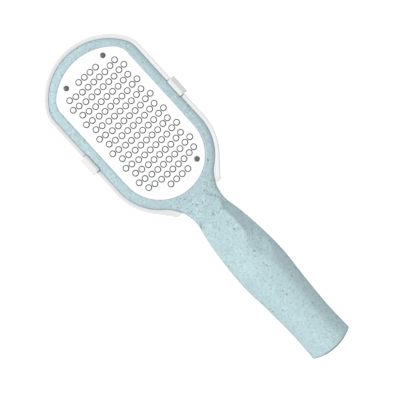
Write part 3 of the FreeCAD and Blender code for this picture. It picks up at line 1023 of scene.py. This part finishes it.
def tooth_lattice():
    """Points in rows across the plate, every other row shifted by half a pitch, swept back at the sides."""
    outputs = [("Geometry", SHAPE)]
    tree, given, out = new_group("tooth lattice", "GeometryNodeTree", LATTICE_SIZES, outputs)
    size = given.outputs
    rows = sums(tree, "ADD", sums(tree, "MULTIPLY", size["Side Rows"], 2.0), 1.0)
    columns = sums(tree, "ADD", sums(tree, "MULTIPLY", size["Half Columns"], 2.0), 1.0)
    length = sums(tree, "MULTIPLY", size["Side Rows"], 2.0)
    length = sums(tree, "MULTIPLY", length, size["Row Pitch"])
    width = sums(tree, "MULTIPLY", size["Half Columns"], size["Column Pitch"])
    grid = add(
        tree,
        "GeometryNodeMeshGrid",
        {"Size X": length, "Size Y": width, "Vertices X": rows, "Vertices Y": columns},
    )
    position = tree.nodes.new("GeometryNodeInputPosition").outputs[0]
    place = add(tree, "ShaderNodeSeparateXYZ", {0: position})
    x, y = place.outputs[0], place.outputs[1]
    side = sums(tree, "ABSOLUTE", y)
    row = sums(tree, "DIVIDE", x, size["Row Pitch"])
    half_pitches = sums(tree, "DIVIDE", y, sums(tree, "MULTIPLY", size["Column Pitch"], 0.5))
    step = sums(tree, "ROUND", sums(tree, "ADD", row, half_pitches))
    odd = sums(tree, "GREATER_THAN", sums(tree, "PINGPONG", step, 1.0), 0.5)
    real_x = sums(tree, "SUBTRACT", sums(tree, "ADD", x, size["Middle X"]), size["Rivet Lag"])
    to_tip = sums(tree, "ABSOLUTE", sums(tree, "SUBTRACT", real_x, size["Tip Rivet X"]))
    to_rear = sums(tree, "ABSOLUTE", sums(tree, "SUBTRACT", real_x, size["Rear Rivet X"]))
    by_rivet = sums(tree, "LESS_THAN", sums(tree, "MINIMUM", to_tip, to_rear), size["Rivet Room"])
    lost = sums(tree, "SUBTRACT", size["Wide Reach"], size["Narrow Reach"])
    reach = sums(tree, "SUBTRACT", size["Wide Reach"], sums(tree, "MULTIPLY", by_rivet, lost))
    outside = sums(tree, "GREATER_THAN", side, reach)
    kept = add(
        tree,
        "GeometryNodeDeleteGeometry",
        {"Geometry": grid.outputs["Mesh"], "Selection": sums(tree, "MAXIMUM", odd, outside)},
        domain="POINT",
    )
    sweep = add(
        tree,
        "ShaderNodeMapRange",
        {"Value": side, "From Min": size["Sweep Start"], "From Max": size["Sweep End"], "To Min": 0.0},
        interpolation_type="SMOOTHSTEP",
    )
    tree.links.new(sums(tree, "MULTIPLY", size["Sweep"], -1.0), sweep.inputs["To Max"])
    pitches = sums(tree, "DIVIDE", side, size["Column Pitch"])
    inner = sums(tree, "GREATER_THAN", pitches, pair_pitches[0])
    outer = sums(tree, "LESS_THAN", pitches, pair_pitches[1])
    paired = sums(tree, "MULTIPLY", inner, outer)
    aside = sums(tree, "MULTIPLY", paired, size["Pair Shift"])
    aside = sums(tree, "MULTIPLY", aside, sums(tree, "SIGN", y))
    forward = sums(tree, "ADD", sweep.outputs["Result"], size["Middle X"])
    offset = add(tree, "ShaderNodeCombineXYZ", {0: forward, 1: aside, 2: size["Level"]})
    moved = add(
        tree,
        "GeometryNodeSetPosition",
        {"Geometry": kept.outputs[0], "Offset": offset.outputs[0]},
    )
    points = add(tree, "GeometryNodeMeshToPoints", {"Mesh": moved.outputs[0]})
    tree.links.new(points.outputs[0], out.inputs[0])
    return tree


def lattice_in(tree, given, lattice):
    """The lattice's points, with this tree's own inputs of the same names."""
    node = tree.nodes.new("GeometryNodeGroup")
    node.node_tree = lattice
    for label, _, _ in LATTICE_SIZES:
        tree.links.new(given.outputs[label], node.inputs[label])
    return node.outputs[0]


def cone(tree, sides, top, bottom, depth):
    """An open cone from its bottom radius up to its top radius."""
    sizes = {
        "Vertices": sides,
        "Side Segments": 1,
        "Radius Top": top,
        "Radius Bottom": bottom,
        "Depth": depth,
    }
    return add(tree, "GeometryNodeMeshCone", sizes, fill_type="NONE").outputs["Mesh"]


def on_points(tree, points, shape):
    """The shape at every point, as real mesh."""
    node = add(tree, "GeometryNodeInstanceOnPoints", {"Points": points, "Instance": shape})
    return add(tree, "GeometryNodeRealizeInstances", {0: node.outputs[0]}).outputs[0]


def ended(tree, geometry, material, out):
    """The tree, with its result in a material."""
    finish = add(tree, "GeometryNodeSetMaterial", {"Geometry": geometry, "Material": material})
    tree.links.new(finish.outputs[0], out.inputs[0])
    return tree


def lip_tree(lattice, material):
    """A raised lip round each punched hole: a flank outside, a narrow edge and the hole's own wall."""
    extra = (
        ("Sides", COUNT, tooth_sides),
        ("Foot Radius", FLOAT, foot_radius * MM),
        ("Lip Radius", FLOAT, lip_radius * MM),
        ("Edge Radius", FLOAT, edge_radius * MM),
        ("Throat Radius", FLOAT, throat_radius * MM),
        ("Lip Height", FLOAT, lip_height * MM),
        ("Edge Rise", FLOAT, edge_rise * MM),
        ("Thickness", FLOAT, plate_thickness * MM),
    )
    outputs = [("Geometry", SHAPE)]
    tree, given, out = new_group("raised lips", "GeometryNodeTree", LATTICE_SIZES + extra, outputs)
    size = given.outputs
    depth = sums(tree, "ADD", size["Lip Height"], size["Thickness"])
    shoulder = sums(tree, "SUBTRACT", size["Lip Height"], size["Edge Rise"])
    flank = cone(tree, size["Sides"], size["Lip Radius"], size["Foot Radius"], shoulder)
    edge = cone(tree, size["Sides"], size["Edge Radius"], size["Lip Radius"], size["Edge Rise"])
    lift = add(tree, "ShaderNodeCombineXYZ", {2: shoulder})
    edge = add(tree, "GeometryNodeTransform", {"Geometry": edge, "Translation": lift.outputs[0]})
    wall = cone(tree, size["Sides"], size["Edge Radius"], size["Throat Radius"], depth)
    drop = add(tree, "ShaderNodeCombineXYZ", {2: sums(tree, "MULTIPLY", size["Thickness"], -1.0)})
    wall = add(tree, "GeometryNodeTransform", {"Geometry": wall, "Translation": drop.outputs[0]})
    wall = add(tree, "GeometryNodeFlipFaces", {0: wall.outputs[0]})
    tooth = tree.nodes.new("GeometryNodeJoinGeometry")
    tree.links.new(flank, tooth.inputs[0])
    tree.links.new(edge.outputs[0], tooth.inputs[0])
    tree.links.new(wall.outputs[0], tooth.inputs[0])
    smooth = add(tree, "GeometryNodeSetShadeSmooth", {"Geometry": tooth.outputs[0]})
    lips = on_points(tree, lattice_in(tree, given, lattice), smooth.outputs[0])
    return ended(tree, lips, material, out)


def sheet_tree(lattice, material):
    """The plate's blank with a hole through it at each tooth."""
    blank = (("Blank", SHAPE, None),)
    extra = (
        ("Sides", COUNT, tooth_sides),
        ("Hole Radius", FLOAT, (throat_radius + punch_gap) * MM),
        ("Punch Length", FLOAT, 4 * plate_thickness * MM),
    )
    inputs = blank + LATTICE_SIZES + extra
    outputs = [("Geometry", SHAPE)]
    tree, given, out = new_group("punched sheet", "GeometryNodeTree", inputs, outputs)
    size = given.outputs
    punch = add(
        tree,
        "GeometryNodeMeshCylinder",
        {"Vertices": size["Sides"], "Radius": size["Hole Radius"], "Depth": size["Punch Length"]},
    )
    punches = on_points(tree, lattice_in(tree, given, lattice), punch.outputs["Mesh"])
    cut = tree.nodes.new("GeometryNodeMeshBoolean")
    cut.operation = "DIFFERENCE"
    cut.solver = "EXACT"
    tree.links.new(size["Blank"], cut.inputs[0])
    tree.links.new(punches, cut.inputs[1])
    return ended(tree, cut.outputs[0], material, out)


def grown(piece, tree):
    """The piece made by a tree, as plain mesh."""
    node = piece.modifiers.new(tree.name, "NODES")
    node.node_group = tree
    return settled(piece)


def plate_blank():
    """The plate before it is punched."""
    chain = plate_chain()
    around = chain + [(x, -y) for x, y in chain[-2:0:-1]]
    rings = [[(x, y, z) for x, y in around] for z in (seat_top, plate_top)]
    return prism("rasp_sheet", *rings, smooth=False)


def rivet_profile():
    """Radii and heights from the tail to the crest of a low domed head."""
    head = rivet_high[2] - plate_top
    radius = (rivet_high[1] - rivet_low[1]) / 2
    tail = frame_bottom + boss_lift
    profile = [
        (rivet_end_share * radius, rivet_low[2]),
        (rivet_tail_share * radius, rivet_low[2] + rivet_tail_edge),
        (rivet_tail_share * radius, tail),
        (rivet_shank_share * radius, tail),
        (rivet_shank_share * radius, plate_top),
        (radius, plate_top),
    ]
    for k in range(1, rivet_dome_steps):
        turn = math.pi / 2 * k / rivet_dome_steps
        reach = radius * math.cos(turn) ** rivet_dome_power
        profile.append((reach, plate_top + head * math.sin(turn)))
    return profile + [(rivet_crest_share * radius, rivet_high[2])]


# The pieces

speckled = speckled_plastic()
tray_white = white_plastic()
plate_steel = steel("plate_steel", pale=1.0, dark=0.94, gloss=0.30, change=0.12, brush=14)
# The lips' dark steel is partly the burred edge's own tone and partly painted shade, for the shadow and
# dark reflections round each punched hole
burr_and_shade_steel = steel("burr_and_shade_steel", pale=0.24, dark=0.17, gloss=0.28, change=0.1, brush=1)
rivet_steel = steel("rivet_steel", pale=0.18, dark=0.12, gloss=0.40, change=0.1, brush=1)

upper = moulded(
    "frame_and_upper_grip",
    frame_and_upper_grip,
    (top_low[0], -frame_half_width, parting_height),
    (end_x, frame_half_width, grip_top),
    upper_cell,
)
adopt(upper, "handle", "speckled_plastic", speckled, "handle_top_shell")

lower = moulded(
    "lower_grip",
    lower_grip,
    (nose_x, -grip_reach, 0),
    (end_x, grip_reach, parting_height),
    lower_cell,
)
adopt(lower, "handle", "speckled_plastic", speckled, "handle_bottom_shell")

tray = moulded("dust_tray", tray_form, tray_low, tray_high, tray_cell)
adopt(tray, "tray", "tray_plastic", tray_white, "debris_tray")

for side, sign in (("left", -1), ("right", 1)):
    latch = snap_latch("snap_latch_" + side, sign)
    adopt(latch, side + "_latch", "tray_plastic", tray_white, "latch_" + side)

lattice = tooth_lattice()
sheet = grown(plate_blank(), sheet_tree(lattice, plate_steel))
adopt(sheet, "handle", "rasp_steel", None, "rasp_plate")
lips = grown(mesh_object("tooth_lips", [(0, 0, 0)], []), lip_tree(lattice, burr_and_shade_steel))
adopt(lips, "handle", "rasp_steel", None, "rasp_plate")

rivet_names = ("rivet_tip_left", "rivet_tip_right", "rivet_rear_right")
for name, centre in zip(rivet_names, rivet_places()):
    head = turned(name.replace("rivet", "domed_rivet"), rivet_profile(), centre, rivet_sides)
    adopt(head, "handle", "rivet_steel", rivet_steel, name)


# Studio

def white_surround(towards):
    """A surround whose brightness falls evenly away from one direction; the camera sees it white."""
    world = bpy.data.worlds.new("white surround")
    bpy.context.scene.world = world
    world.use_nodes = True
    tree = world.node_tree
    seen = tree.nodes.new("ShaderNodeTexCoord").outputs["Generated"]
    facing = add(tree, "ShaderNodeVectorMath", {0: seen, 1: towards}, operation="DOT_PRODUCT")
    swing = sums(tree, "MULTIPLY", facing.outputs["Value"], surround_swing)
    strength = sums(tree, "ADD", swing, surround_level)
    backdrop = tree.nodes.new("ShaderNodeLightPath").outputs["Is Camera Ray"]
    strength = sums(tree, "MAXIMUM", strength, backdrop)
    background = tree.nodes["Background"]
    background.inputs["Color"].default_value = (1, 1, 1, 1)
    tree.links.new(strength, background.inputs["Strength"])


def soft_light(name, place, size, power):
    """A square lamp that faces the file and isn't seen itself."""
    light = bpy.data.lights.new(name, "AREA")
    light.size = size
    light.energy = power
    lamp = bpy.data.objects.new(name, light)
    lamp.location = place
    lamp.rotation_mode = "QUATERNION"
    lamp.rotation_quaternion = (-place).to_track_quat("-Z", "Y")
    lamp.visible_camera = False
    bpy.context.scene.collection.objects.link(lamp)


def overhead_camera(right, up):
    """The photo's camera: straight above the file, turned with the picture."""
    pixel = picture_width / picture_side * MM
    shift = (picture_side / 2 - middle_pixel[0]) * right + (middle_pixel[1] - picture_side / 2) * up
    lens = bpy.data.cameras.new("camera")
    lens.lens = lens_length
    camera = bpy.data.objects.new("camera", lens)
    distance = picture_width * MM * lens.lens / lens.sensor_width
    camera.location = shift * pixel + Vector((0, 0, distance + frame_top * MM))
    camera.rotation_euler = (0, 0, picture_turn)
    bpy.context.scene.collection.objects.link(camera)
    bpy.context.scene.camera = camera


def studio():
    """A pale floor under a white surround that is brighter overhead and to the picture's left."""
    right = Vector((math.cos(picture_turn), math.sin(picture_turn), 0))
    up = Vector((-math.sin(picture_turn), math.cos(picture_turn), 0))
    corners = [(x * floor_reach, y * floor_reach, 0) for x, y in ((-1, -1), (1, -1), (1, 1), (-1, 1))]
    floor = mesh_object("floor", corners, [(0, 1, 2, 3)])
    floor.location.z = -floor_drop * MM
    floor.data.materials.append(floor_finish())
    floor.visible_diffuse = False
    floor.visible_glossy = False
    white_surround(-surround_aside * right + Vector((0, 0, surround_over)))
    soft_light("key", -key_aside * right + Vector((0, 0, key_over)), key_size, key_power)
    overhead_camera(right, up)
    bpy.context.scene.view_settings.view_transform = "Standard"


studio()
